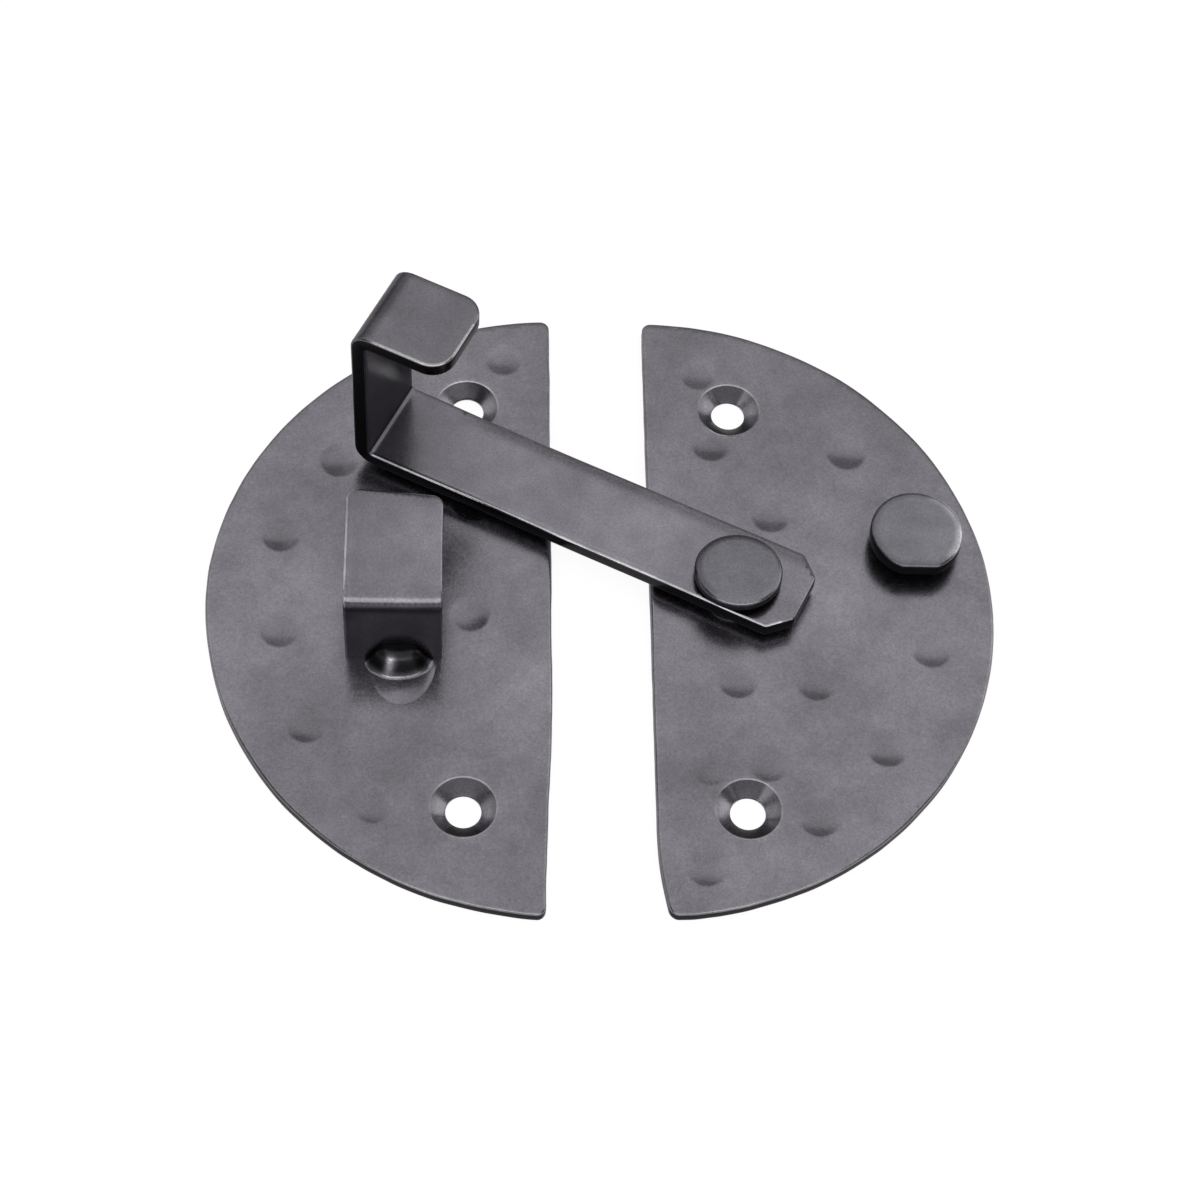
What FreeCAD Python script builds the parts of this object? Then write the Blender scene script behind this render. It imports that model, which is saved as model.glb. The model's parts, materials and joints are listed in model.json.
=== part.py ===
import FreeCAD, Part
import math
import os

import Sketcher

# Hand-forged cabinet latch for a pair of doors, modelled in millimetres.
# It lies on its back: +X runs across the two doors, +Y up the doors, +Z out of them.
# The origin is the centre of the footprint, on the plane of the plates' backs.
# The keeper half is on the -X side, the latch half with the swinging arm on the +X side.

Vector = FreeCAD.Vector
doc = FreeCAD.newDocument("cabinet_latch")

# Driving sizes, in millimetres and degrees

SIZES = [
    ("plate_radius", 40.0, "radius of each half-round backplate"),
    ("plate_gap", 10.8, "space between the straight edges of the two backplates"),
    ("plate_thickness", 1.6, "sheet that the backplates are cut from"),
    ("plate_corner_radius", 1.2, "rounding of the two corners of a backplate"),
    ("plate_edge_bevel", 0.3, "filed bevel along the front edge of a backplate"),
    ("screw_spacing", 53.8, "distance between the two screw holes of a backplate"),
    ("screw_inset", 10.3, "screw holes from the straight edge"),
    ("screw_hole_radius", 2.05, "clearance hole for a number 6 or 4 mm wood screw"),
    ("countersink_radius", 3.7, "mouth of the countersink"),
    ("countersink_angle", 108.0, "full angle of the countersink"),
    ("dent_radius", 2.2, "hammer mark, radius at the surface"),
    ("dent_depth", 0.25, "hammer mark, depth in the middle"),
    ("strip_thickness", 2.0, "flat bar that the arm and the catch are bent from"),
    ("bend_radius", 0.8, "inside radius of every bend"),
    ("pivot_inset", 10.0, "pivot from the straight edge of the latch plate"),
    ("pivot_height", 1.3, "pivot above the middle of the latch plate"),
    ("pivot_shank_radius", 2.5, "shank of the pivot rivet"),
    ("pivot_head_radius", 5.1, "head of the pivot rivet"),
    ("pivot_head_thickness", 1.6, "head of the pivot rivet"),
    ("head_rounding", 0.5, "rounded rim of the pivot rivet and the knob"),
    ("running_clearance", 0.05, "arm on its rivet, on the radius and at each face"),
    ("spacer_radius", 4.0, "outside of the washer under the arm"),
    ("spacer_length", 0.9, "thickness of the washer under the arm"),
    ("peen_spread", 0.9, "back end of a rivet, spread at 45 degrees into its countersink"),
    ("rivet_fit", 0.02, "space round a rivet in the backplate"),
    ("arm_angle", 153.2, "direction of the open arm, from +X towards +Y"),
    ("arm_length", 45.3, "pivot to the inner face of the handle"),
    ("arm_tail", 8.1, "pivot to the free end of the arm"),
    ("arm_front_at_tail", 4.6, "lower edge of the arm from the pivot line, at the tail"),
    ("arm_front_at_handle", 4.5, "lower edge of the arm from the pivot line, at the handle"),
    ("arm_back_at_tail", 6.6, "upper edge of the arm from the pivot line, at the tail"),
    ("arm_back_at_handle", 6.4, "upper edge of the arm from the pivot line, at the handle"),
    ("tail_clip", 2.5, "clipped corners of the tail"),
    ("handle_clear_height", 20.0, "finger space between the arm and the handle's top"),
    ("handle_reach", 9.75, "top of the handle, from its inner face towards the pivot"),
    ("handle_corner_radius", 3.0, "rounded corners of the handle's top"),
    ("catch_width", 11.0, "width of the catch along X"),
    ("catch_height", 12.4, "top of the catch above the plate"),
    ("catch_depth", 12.6, "inner face of the catch's wall to its free edge"),
    ("catch_skew", 0.45, "free edge of the catch, out of square at each corner"),
    ("catch_corner_radius", 1.4, "rounded corners of the catch"),
    ("catch_side_clearance", 0.7, "handle to the side of the catch when latched"),
    ("latched_drop", 3.0, "arm to the inner face of the catch's wall, when level"),
    ("weld_half_width", 3.7, "weld bead along the foot of the catch"),
    ("weld_leg_out", 2.0, "weld bead out over the plate"),
    ("weld_leg_up", 3.1, "weld bead up the wall of the catch"),
    ("weld_offset", 0.9, "middle of the bead from the middle of the catch"),
    ("puddle_radius", 4.4, "flat pool of weld round the bead"),
    ("puddle_height", 0.45, "flat pool of weld, above the plate"),
    ("puddle_offset", 2.2, "middle of the pool, out from the wall of the catch"),
    ("knob_radius", 5.4, "head of the pull knob"),
    ("knob_thickness", 2.0, "head of the pull knob"),
    ("knob_rise", 1.4, "underside of the knob's head above the plate"),
    ("knob_stem_radius", 2.4, "stem of the pull knob"),
    ("knob_from_rim", 8.85, "middle of the knob from the round rim of the latch plate"),
    ("knob_height", 7.75, "knob above the middle of the latch plate"),
    ("knob_flat", 0.4, "flat filed on the lower side of the knob's head"),
]

sheet = doc.addObject("Spreadsheet::Sheet", "sizes")
for row, (alias, value, note) in enumerate(SIZES, start=1):
    sheet.set("A%d" % row, alias)
    sheet.set("B%d" % row, str(value))
    sheet.set("C%d" % row, note)
    sheet.setAlias("B%d" % row, alias)
doc.recompute()

# Places of the hammer marks on each backplate, in the plate's own frame: bearing from the
# plate's +X in degrees, and distance from the middle of the straight edge as a share of
# the plate's radius.

KEEPER_DENTS = [
    (-80, 0.86), (-53, 0.40), (-37, 0.79), (-15, 0.82), (8, 0.79),
    (13, 0.25), (31, 0.81), (53, 0.84),
]
LATCH_DENTS = [
    (78, 0.82), (70, 0.58), (41, 0.80), (39, 0.47), (-11, 0.82), (-30, 0.54),
    (-36, 0.81), (-47, 0.36), (-57, 0.83), (-59, 0.62), (-74, 0.57), (-81, 0.86),
]

# Places that several pieces share, worked out from the sizes

PIVOT_ACROSS = "(sizes.plate_gap / 2 + sizes.pivot_inset)"
KNOB_INSET = "(sizes.plate_radius - sizes.knob_from_rim)"
KNOB_ACROSS = "(sizes.plate_gap / 2 + " + KNOB_INSET + ")"
ARM_UNDERSIDE = "(sizes.plate_thickness + sizes.spacer_length + sizes.running_clearance)"
ARM_HEIGHT = "(sizes.handle_clear_height + 2 * sizes.strip_thickness)"
ARM_OUTSIDE = "(sizes.arm_length + sizes.strip_thickness)"
HEAD_UNDERSIDE = "(" + ARM_UNDERSIDE + " + sizes.strip_thickness + sizes.running_clearance)"
CATCH_ACROSS = (
    "(" + PIVOT_ACROSS + " - sizes.arm_length + sizes.catch_side_clearance"
    " + sizes.catch_width / 2)"
)
CATCH_WALL_INSIDE = "(sizes.pivot_height - sizes.arm_front_at_handle - sizes.latched_drop)"
WELD_ACROSS = "(" + CATCH_ACROSS + " + sizes.weld_offset)"
WELD_BACK = "(" + CATCH_WALL_INSIDE + " - sizes.strip_thickness)"
DENT_SPHERE = "((sizes.dent_radius^2 + sizes.dent_depth^2) / (2 * sizes.dent_depth))"
PUDDLE_SPHERE = "((sizes.puddle_radius^2 + sizes.puddle_height^2) / (2 * sizes.puddle_height))"

X_WAY = Vector(1, 0, 0)
Y_WAY = Vector(0, 1, 0)
Z_WAY = Vector(0, 0, 1)
NEAR = 1e-4


# Helpers

def size(alias):
    """Value of one driving size."""
    return float(sheet.get(alias))


def new_body(label):
    body = doc.addObject("PartDesign::Body", label)
    body.Label = label
    return body


def origin_plane(body, role):
    for feature in body.Origin.OriginFeatures:
        if feature.Role == role:
            return feature
    raise ValueError("no origin plane " + role)


def new_sketch(body, name, role, lift=None):
    """Start a sketch on one of the body's own planes, lifted by an expression if given."""
    sketch = body.newObject("Sketcher::SketchObject", name)
    sketch.AttachmentSupport = [(origin_plane(body, role), "")]
    sketch.MapMode = "FlatFace"
    if lift:
        sketch.setExpression("AttachmentOffset.Base.z", lift)
    return sketch


def pin_point(sketch, geometry, point, across, up):
    """Hold a point at two expressions, measured from the sketch's origin."""
    for kind, expression in (("DistanceX", across), ("DistanceY", up)):
        index = sketch.addConstraint(Sketcher.Constraint(kind, -1, 1, geometry, point, 1.0))
        sketch.setExpression("Constraints[%d]" % index, expression)


def closed_outline(sketch, corners):
    """Draw a closed outline of straight lines through corners given as expressions."""
    count = len(corners)
    first = sketch.GeometryCount
    step = 2 * math.pi / count
    for index in range(count):
        start = Vector(math.cos(step * index), math.sin(step * index), 0)
        end = Vector(math.cos(step * (index + 1)), math.sin(step * (index + 1)), 0)
        sketch.addGeometry(Part.LineSegment(start, end))
    for index in range(count):
        follower = first + (index + 1) % count
        sketch.addConstraint(Sketcher.Constraint("Coincident", first + index, 2, follower, 1))
    for index, (across, up) in enumerate(corners):
        pin_point(sketch, first + index, 1, across, up)


def circle_at(sketch, across, up, radius):
    """Draw a circle whose centre and radius are expressions."""
    circle = sketch.addGeometry(Part.Circle(Vector(1, 1, 0), Z_WAY, 1.0))
    pin_point(sketch, circle, 3, across, up)
    index = sketch.addConstraint(Sketcher.Constraint("Radius", circle, 1.0))
    sketch.setExpression("Constraints[%d]" % index, radius)


def pad(body, name, sketch, length, symmetric=False):
    feature = body.newObject("PartDesign::Pad", name)
    feature.Profile = sketch
    if symmetric:
        feature.SideType = "Symmetric"
    feature.setExpression("Length", length)
    doc.recompute()
    return feature


def must_cut(body, name, before):
    """Stop if a feature that should remove metal left the body as it was."""
    doc.recompute()
    if not body.Shape.Volume < before - NEAR:
        raise ValueError(name + " cut nothing")


def pocket_through(body, name, sketch):
    """Cut a sketch through the whole body, both ways."""
    before = body.Shape.Volume
    feature = body.newObject("PartDesign::Pocket", name)
    feature.Profile = sketch
    feature.SideType = "Symmetric"
    feature.Type = "ThroughAll"
    must_cut(body, name, before)
    return feature


def countersunk_hole(body, name, sketch, radius, mouth, angle, upward=False):
    """Drill the sketch's circles right through, with a countersink at the sketch's plane."""
    doc.recompute()
    before = body.Shape.Volume
    feature = body.newObject("PartDesign::Hole", name)
    feature.Profile = sketch
    doc.recompute()
    feature.ThreadType = "None"
    feature.DepthType = "ThroughAll"
    feature.HoleCutType = "Countersink"
    feature.HoleCutCustomValues = True
    feature.Reversed = upward
    feature.setExpression("Diameter", "2 * " + radius)
    feature.setExpression("HoleCutDiameter", "2 * " + mouth)
    feature.setExpression("HoleCutCountersinkAngle", angle)
    must_cut(body, name, before)
    return feature


def revolve(body, name, sketch):
    feature = body.newObject("PartDesign::Revolution", name)
    feature.Profile = sketch
    feature.ReferenceAxis = (sketch, ["V_Axis"])
    feature.Angle = 360
    doc.recompute()
    return feature


def edges_where(body, test):
    """Names of the body's edges for which the test holds; there has to be at least one."""
    names = ["Edge%d" % (index + 1) for index, edge in enumerate(body.Shape.Edges) if test(edge)]
    if not names:
        raise ValueError("no edge to round on " + body.Label)
    return names


def runs(edge, way):
    """Whether an edge is straight and parallel to a direction."""
    if edge.Curve.TypeId != "Part::GeomLine":
        return False
    return edge.tangentAt(edge.FirstParameter).cross(way).Length < NEAR


def rings(edge, height):
    """Whether an edge is a full circle round the body's Z axis at a height."""
    if edge.Curve.TypeId != "Part::GeomCircle":
        return False
    centre = edge.Curve.Center
    return abs(centre.z - height) < NEAR and math.hypot(centre.x, centre.y) < NEAR


def at(value, target):
    return abs(value - target) < NEAR


def dress(kind, body, name, edges, property_name, expression):
    """Round or bevel some edges of the body as it stands."""
    base = body.Tip
    feature = body.newObject(kind, name)
    feature.Base = (base, edges)
    feature.setExpression(property_name, expression)
    doc.recompute()
    return feature


def fillet(body, name, edges, radius):
    return dress("PartDesign::Fillet", body, name, edges, "Radius", radius)


def chamfer(body, name, edges, leg):
    return dress("PartDesign::Chamfer", body, name, edges, "Size", leg)


def place(item, across, up, out, turn="0 deg", about=Z_WAY):
    """Put a piece or a tool where expressions say, turned about one of its own axes."""
    item.Placement = FreeCAD.Placement(Vector(0, 0, 0), FreeCAD.Rotation(about, 1))
    item.setExpression("Placement.Base.x", across)
    item.setExpression("Placement.Base.y", up)
    item.setExpression("Placement.Base.z", out)
    item.setExpression("Placement.Rotation.Angle", turn)


# Backplates
# Each is drawn with its straight edge on its own Y axis and its round side towards +X.

def half_round_plate(label):
    body = new_body(label)
    sketch = new_sketch(body, label + "_outline", "XY_Plane")
    centre = Vector(0, 0, 0)
    quarter = math.pi / 2
    arc = sketch.addGeometry(Part.ArcOfCircle(Part.Circle(centre, Z_WAY, 30.0), -quarter, quarter))
    edge = sketch.addGeometry(Part.LineSegment(Vector(0, 30, 0), Vector(0, -30, 0)))
    sketch.addConstraint(Sketcher.Constraint("Coincident", arc, 2, edge, 1))
    sketch.addConstraint(Sketcher.Constraint("Coincident", edge, 2, arc, 1))
    sketch.addConstraint(Sketcher.Constraint("Coincident", arc, 3, -1, 1))
    sketch.addConstraint(Sketcher.Constraint("PointOnObject", edge, 1, -2))
    sketch.addConstraint(Sketcher.Constraint("PointOnObject", edge, 2, -2))
    index = sketch.addConstraint(Sketcher.Constraint("Radius", arc, 30.0))
    sketch.setExpression("Constraints[%d]" % index, "sizes.plate_radius")
    pad(body, label + "_sheet", sketch, "sizes.plate_thickness")
    corners = edges_where(body, lambda edge: runs(edge, Z_WAY))
    fillet(body, label + "_corners", corners, "sizes.plate_corner_radius")
    front = size("plate_thickness")
    rim = edges_where(body, lambda edge: all(at(v.Z, front) for v in edge.Vertexes))
    chamfer(body, label + "_bevel", rim, "sizes.plate_edge_bevel")
    return body


def screw_holes(body):
    sketch = new_sketch(body, body.Label + "_screws", "XY_Plane", "sizes.plate_thickness")
    for up in ("sizes.screw_spacing / 2", "-sizes.screw_spacing / 2"):
        circle_at(sketch, "sizes.screw_inset", up, "sizes.screw_hole_radius")
    countersunk_hole(body, body.Label + "_screw_holes", sketch, "sizes.screw_hole_radius",
                     "sizes.countersink_radius", "sizes.countersink_angle * 1 deg")


def rivet_hole(body, name, across, up, shank):
    """Hole for a rivet's shank, countersunk at the back for the peened end."""
    sketch = new_sketch(body, name + "_place", "XY_Plane")
    radius = "(" + shank + " + sizes.rivet_fit)"
    circle_at(sketch, across, up, radius)
    countersunk_hole(body, name, sketch, radius, "(" + radius + " + sizes.peen_spread)",
                     "90 deg", upward=True)


def hammer_marks(body, places):
    """Strike the front of a plate with a round-faced hammer at each of the places.

    The spheres lie on their sides, so that no pole of theirs falls inside a mark."""
    doc.recompute()
    before = body.Shape.Volume
    for number, (bearing, share) in enumerate(places, start=1):
        dent = body.newObject("PartDesign::SubtractiveSphere", body.Label + "_dent_%02d" % number)
        dent.setExpression("Radius", DENT_SPHERE)
        reach = "%g * sizes.plate_radius" % share
        place(dent, reach + " * cos(%g deg)" % bearing, reach + " * sin(%g deg)" % bearing,
              "sizes.plate_thickness + " + DENT_SPHERE + " - sizes.dent_depth", "90 deg", X_WAY)
    must_cut(body, "hammer marks", before)


keeper_plate = half_round_plate("keeper_plate")
screw_holes(keeper_plate)
hammer_marks(keeper_plate, KEEPER_DENTS)
place(keeper_plate, "-sizes.plate_gap / 2", "0", "0", "180 deg")

latch_plate = half_round_plate("latch_plate")
screw_holes(latch_plate)
rivet_hole(latch_plate, "pivot_hole", "sizes.pivot_inset", "sizes.pivot_height",
           "sizes.pivot_shank_radius")
rivet_hole(latch_plate, "knob_hole", KNOB_INSET, "sizes.knob_height",
           "sizes.knob_stem_radius")
hammer_marks(latch_plate, LATCH_DENTS)
place(latch_plate, "sizes.plate_gap / 2", "0", "0")


# Arm
# One flat bar, bent up at its far end and back again to make the handle. It is drawn
# along its own +X from the pivot, with its lower, latching edge on its +Y side.

latch_arm = new_body("latch_arm")
profile = new_sketch(latch_arm, "arm_profile", "XZ_Plane")
closed_outline(profile, [
    ("-sizes.arm_tail", "0"),
    (ARM_OUTSIDE, "0"),
    (ARM_OUTSIDE, ARM_HEIGHT),
    ("sizes.arm_length - sizes.handle_reach", ARM_HEIGHT),
    ("sizes.arm_length - sizes.handle_reach", ARM_HEIGHT + " - sizes.strip_thickness"),
    ("sizes.arm_length", ARM_HEIGHT + " - sizes.strip_thickness"),
    ("sizes.arm_length", "sizes.strip_thickness"),
    ("-sizes.arm_tail", "sizes.strip_thickness"),
])
pad(latch_arm, "arm_bar", profile, "3 * (sizes.arm_front_at_tail + sizes.arm_back_at_tail)",
    symmetric=True)

strip = size("strip_thickness")
arm_inside = size("arm_length")
arm_top = size("handle_clear_height") + 2 * strip
outer_bends = edges_where(latch_arm, lambda edge: runs(edge, Y_WAY)
                          and at(edge.CenterOfMass.x, arm_inside + strip))
fillet(latch_arm, "arm_outer_bends", outer_bends, "sizes.bend_radius + sizes.strip_thickness")
inner_bends = edges_where(latch_arm, lambda edge: runs(edge, Y_WAY)
                          and at(edge.CenterOfMass.x, arm_inside))
fillet(latch_arm, "arm_inner_bends", inner_bends, "sizes.bend_radius")

plan = new_sketch(latch_arm, "arm_plan", "XY_Plane")
closed_outline(plan, [
    ("-sizes.arm_tail", "sizes.arm_front_at_tail - sizes.tail_clip"),
    ("-sizes.arm_tail + sizes.tail_clip", "sizes.arm_front_at_tail"),
    (ARM_OUTSIDE + " + sizes.strip_thickness", "sizes.arm_front_at_handle"),
    (ARM_OUTSIDE + " + sizes.strip_thickness", "-sizes.arm_back_at_handle"),
    ("-sizes.arm_tail + sizes.tail_clip", "-sizes.arm_back_at_tail"),
    ("-sizes.arm_tail", "-sizes.arm_back_at_tail + sizes.tail_clip"),
])
beyond = "(2 * (sizes.arm_front_at_tail + sizes.arm_back_at_tail))"
closed_outline(plan, [
    ("-sizes.arm_tail - sizes.tail_clip", beyond),
    (ARM_OUTSIDE + " + 2 * sizes.strip_thickness", beyond),
    (ARM_OUTSIDE + " + 2 * sizes.strip_thickness", "-" + beyond),
    ("-sizes.arm_tail - sizes.tail_clip", "-" + beyond),
])
pocket_through(latch_arm, "arm_trim", plan)

bore = new_sketch(latch_arm, "arm_bore_place", "XY_Plane")
circle_at(bore, "0", "0", "sizes.pivot_shank_radius + sizes.running_clearance")
pocket_through(latch_arm, "arm_bore", bore)

handle_end = arm_inside - size("handle_reach")
handle_corners = edges_where(latch_arm, lambda edge: runs(edge, Z_WAY)
                             and at(edge.CenterOfMass.x, handle_end))
fillet(latch_arm, "handle_corners", handle_corners, "sizes.handle_corner_radius")
place(latch_arm, PIVOT_ACROSS, "sizes.pivot_height", ARM_UNDERSIDE, "sizes.arm_angle * 1 deg")


# Pivot
# The rivet stands on the back of the plate; the washer under the arm lifts it clear.

pivot_rivet = new_body("pivot_rivet")
profile = new_sketch(pivot_rivet, "rivet_profile", "XZ_Plane")
closed_outline(profile, [
    ("0", "0"),
    ("sizes.pivot_shank_radius + sizes.peen_spread", "0"),
    ("sizes.pivot_shank_radius", "sizes.peen_spread"),
    ("sizes.pivot_shank_radius", HEAD_UNDERSIDE),
    ("sizes.pivot_head_radius", HEAD_UNDERSIDE),
    ("sizes.pivot_head_radius", HEAD_UNDERSIDE + " + sizes.pivot_head_thickness"),
    ("0", HEAD_UNDERSIDE + " + sizes.pivot_head_thickness"),
])
revolve(pivot_rivet, "rivet_turning", profile)
rivet_top = pivot_rivet.Shape.BoundBox.ZMax
rim = edges_where(pivot_rivet, lambda edge: rings(edge, rivet_top))
fillet(pivot_rivet, "rivet_rim", rim, "sizes.head_rounding")
place(pivot_rivet, PIVOT_ACROSS, "sizes.pivot_height", "0")

pivot_spacer = new_body("pivot_spacer")
ring = new_sketch(pivot_spacer, "spacer_ring", "XY_Plane")
circle_at(ring, "0", "0", "sizes.spacer_radius")
circle_at(ring, "0", "0", "sizes.pivot_shank_radius + sizes.running_clearance")
pad(pivot_spacer, "spacer_tube", ring, "sizes.spacer_length")
place(pivot_spacer, PIVOT_ACROSS, "sizes.pivot_height", "sizes.plate_thickness")


# Pull knob
# Head and stem are one turned piece, riveted through the latch plate.

pull_knob = new_body("pull_knob")
profile = new_sketch(pull_knob, "knob_profile", "XZ_Plane")
knob_underside = "(sizes.plate_thickness + sizes.knob_rise)"
closed_outline(profile, [
    ("0", "0"),
    ("sizes.knob_stem_radius + sizes.peen_spread", "0"),
    ("sizes.knob_stem_radius", "sizes.peen_spread"),
    ("sizes.knob_stem_radius", knob_underside),
    ("sizes.knob_radius", knob_underside),
    ("sizes.knob_radius", knob_underside + " + sizes.knob_thickness"),
    ("0", knob_underside + " + sizes.knob_thickness"),
])
revolve(pull_knob, "knob_turning", profile)
knob_top = pull_knob.Shape.BoundBox.ZMax
rim = edges_where(pull_knob, lambda edge: rings(edge, knob_top))
fillet(pull_knob, "knob_rim", rim, "sizes.head_rounding")
flat = new_sketch(pull_knob, "knob_flat_place", "XY_Plane")
flat_line = "(-sizes.knob_radius + sizes.knob_flat)"
closed_outline(flat, [
    ("-2 * sizes.knob_radius", flat_line),
    ("2 * sizes.knob_radius", flat_line),
    ("2 * sizes.knob_radius", "-2 * sizes.knob_radius"),
    ("-2 * sizes.knob_radius", "-2 * sizes.knob_radius"),
])
pocket_through(pull_knob, "knob_flat_cut", flat)
place(pull_knob, KNOB_ACROSS, "sizes.knob_height", "0")


# Catch
# A short bar bent square, standing on the keeper plate with its open side towards +Y.
# Its own origin is the middle of the wall's inner face, on the front of the plate.

keeper_catch = new_body("keeper_catch")
profile = new_sketch(keeper_catch, "catch_profile", "YZ_Plane")
closed_outline(profile, [
    ("-sizes.strip_thickness", "0"),
    ("0", "0"),
    ("0", "sizes.catch_height - sizes.strip_thickness"),
    ("sizes.catch_depth + 2 * sizes.catch_skew", "sizes.catch_height - sizes.strip_thickness"),
    ("sizes.catch_depth + 2 * sizes.catch_skew", "sizes.catch_height"),
    ("-sizes.strip_thickness", "sizes.catch_height"),
])
pad(keeper_catch, "catch_bar", profile, "sizes.catch_width", symmetric=True)
catch_top = size("catch_height")
outer_bend = edges_where(keeper_catch, lambda edge: runs(edge, X_WAY)
                         and at(edge.CenterOfMass.y, -strip)
                         and at(edge.CenterOfMass.z, catch_top))
fillet(keeper_catch, "catch_outer_bend", outer_bend, "sizes.bend_radius + sizes.strip_thickness")
inner_bend = edges_where(keeper_catch, lambda edge: runs(edge, X_WAY)
                         and at(edge.CenterOfMass.y, 0)
                         and at(edge.CenterOfMass.z, catch_top - strip))
fillet(keeper_catch, "catch_inner_bend", inner_bend, "sizes.bend_radius")
free_edge = new_sketch(keeper_catch, "catch_free_edge", "XY_Plane")
closed_outline(free_edge, [
    ("-sizes.catch_width", "sizes.catch_depth + 2 * sizes.catch_skew"),
    ("sizes.catch_width", "sizes.catch_depth - 2 * sizes.catch_skew"),
    ("sizes.catch_width", "2 * sizes.catch_depth"),
    ("-sizes.catch_width", "2 * sizes.catch_depth"),
])
pocket_through(keeper_catch, "catch_skew_cut", free_edge)
catch_corners = edges_where(keeper_catch, lambda edge: runs(edge, Z_WAY)
                            and edge.CenterOfMass.y > size("catch_depth") / 2)
fillet(keeper_catch, "catch_corners", catch_corners, "sizes.catch_corner_radius")
place(keeper_catch, CATCH_ACROSS, CATCH_WALL_INSIDE, "sizes.plate_thickness")


# Weld
# A bead in the corner of the catch's wall and the plate, with a flat pool round it.

bead = doc.addObject("Part::Ellipsoid", "weld_bead")
bead.setExpression("Radius1", "sizes.weld_leg_up")
bead.setExpression("Radius2", "sizes.weld_half_width")
bead.setExpression("Radius3", "sizes.weld_leg_out")
place(bead, WELD_ACROSS, WELD_BACK, "sizes.plate_thickness")
puddle = doc.addObject("Part::Sphere", "weld_puddle")
puddle.setExpression("Radius", PUDDLE_SPHERE)
place(puddle, WELD_ACROSS, WELD_BACK + " - sizes.puddle_offset",
      "sizes.plate_thickness + sizes.puddle_height - " + PUDDLE_SPHERE, "90 deg", X_WAY)
melt = doc.addObject("Part::Fuse", "weld_melt")
melt.Base = bead
melt.Tool = puddle
corner = doc.addObject("Part::Box", "weld_corner")
corner.setExpression("Length", "4 * sizes.puddle_radius")
corner.setExpression("Width", "4 * sizes.puddle_radius")
corner.setExpression("Height", "2 * sizes.weld_leg_up")
place(corner, WELD_ACROSS + " - 2 * sizes.puddle_radius",
      WELD_BACK + " - 4 * sizes.puddle_radius", "sizes.plate_thickness")
catch_weld = doc.addObject("Part::Common", "catch_weld")
catch_weld.Base = melt
catch_weld.Tool = corner
catch_weld.Label = "catch_weld"
doc.recompute()


# Check every object, then write each sub-part to its own file

SUB_PARTS = [keeper_plate, keeper_catch, catch_weld, latch_plate, latch_arm, pivot_rivet,
             pivot_spacer, pull_knob]

for item in doc.Objects:
    if "Invalid" in item.State or "Error" in item.State:
        raise ValueError(item.Name + " failed: " + str(item.State))
for item in SUB_PARTS:
    if item.Shape.isNull() or not item.Shape.isValid() or len(item.Shape.Solids) != 1:
        raise ValueError(item.Label + " is not one sound solid")

os.makedirs("parts", exist_ok=True)
for item in SUB_PARTS:
    item.Shape.exportStep("parts/" + item.Label + ".step")
    print("%-14s %9.3f mm3" % (item.Label, item.Shape.Volume))
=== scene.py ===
import cmath
import json
import math

import bpy
from mathutils import Matrix, Vector, kdtree, noise
from mathutils.geometry import delaunay_2d_cdt


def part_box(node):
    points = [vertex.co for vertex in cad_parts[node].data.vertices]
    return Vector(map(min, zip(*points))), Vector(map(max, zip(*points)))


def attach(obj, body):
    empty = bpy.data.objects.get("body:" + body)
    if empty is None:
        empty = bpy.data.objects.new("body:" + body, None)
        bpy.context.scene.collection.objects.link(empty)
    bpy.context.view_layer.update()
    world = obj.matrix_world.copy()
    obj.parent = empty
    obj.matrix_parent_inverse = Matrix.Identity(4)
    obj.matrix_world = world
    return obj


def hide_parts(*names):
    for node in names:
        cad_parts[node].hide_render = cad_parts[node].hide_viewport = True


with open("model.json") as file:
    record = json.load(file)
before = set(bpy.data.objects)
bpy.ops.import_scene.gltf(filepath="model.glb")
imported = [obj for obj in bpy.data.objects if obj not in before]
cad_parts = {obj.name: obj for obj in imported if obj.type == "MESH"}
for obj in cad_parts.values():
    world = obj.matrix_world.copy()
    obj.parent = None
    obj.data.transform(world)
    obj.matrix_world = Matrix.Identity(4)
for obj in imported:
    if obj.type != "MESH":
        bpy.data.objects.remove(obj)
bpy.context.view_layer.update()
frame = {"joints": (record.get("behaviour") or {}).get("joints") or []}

# The looks of a hand-forged cabinet latch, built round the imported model.
# Shapes are worked out in millimetres and become metres when a mesh is made.
# Points of a flat outline are complex numbers, x + yi. Sheets and bars are cut flat first
# and bent afterwards, the way the real ones are made.

MM = 0.001


def box_mm(node):
    """Lower and upper corner of a CAD node, in millimetres."""
    low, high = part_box(node)
    return low / MM, high / MM


# Sizes from the frame

KEEPER_HIGH = box_mm("keeper_plate")[1]
LATCH_LOW, LATCH_HIGH = box_mm("latch_plate")
CATCH_LOW, CATCH_HIGH = box_mm("keeper_catch")
WELD_LOW, WELD_HIGH = box_mm("catch_weld")
ARM_LOW, ARM_HIGH = box_mm("latch_arm")
RIVET_LOW, RIVET_HIGH = box_mm("pivot_rivet")
SPACER_LOW, SPACER_HIGH = box_mm("pivot_spacer")
KNOB_LOW, KNOB_HIGH = box_mm("pull_knob")
PIVOT = Vector(frame["joints"][0]["pos_m"]) / MM

PIVOT_CENTRE = complex(PIVOT.x, PIVOT.y)
PLATE_RADIUS = LATCH_HIGH.x - LATCH_LOW.x
PLATE_THICKNESS = LATCH_HIGH.z
KNOB_RADIUS = (KNOB_HIGH.x - KNOB_LOW.x) / 2
KNOB_CENTRE = complex(KNOB_LOW.x + KNOB_RADIUS, KNOB_HIGH.y - KNOB_RADIUS)

# Sizes of the plates, in millimetres

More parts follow.
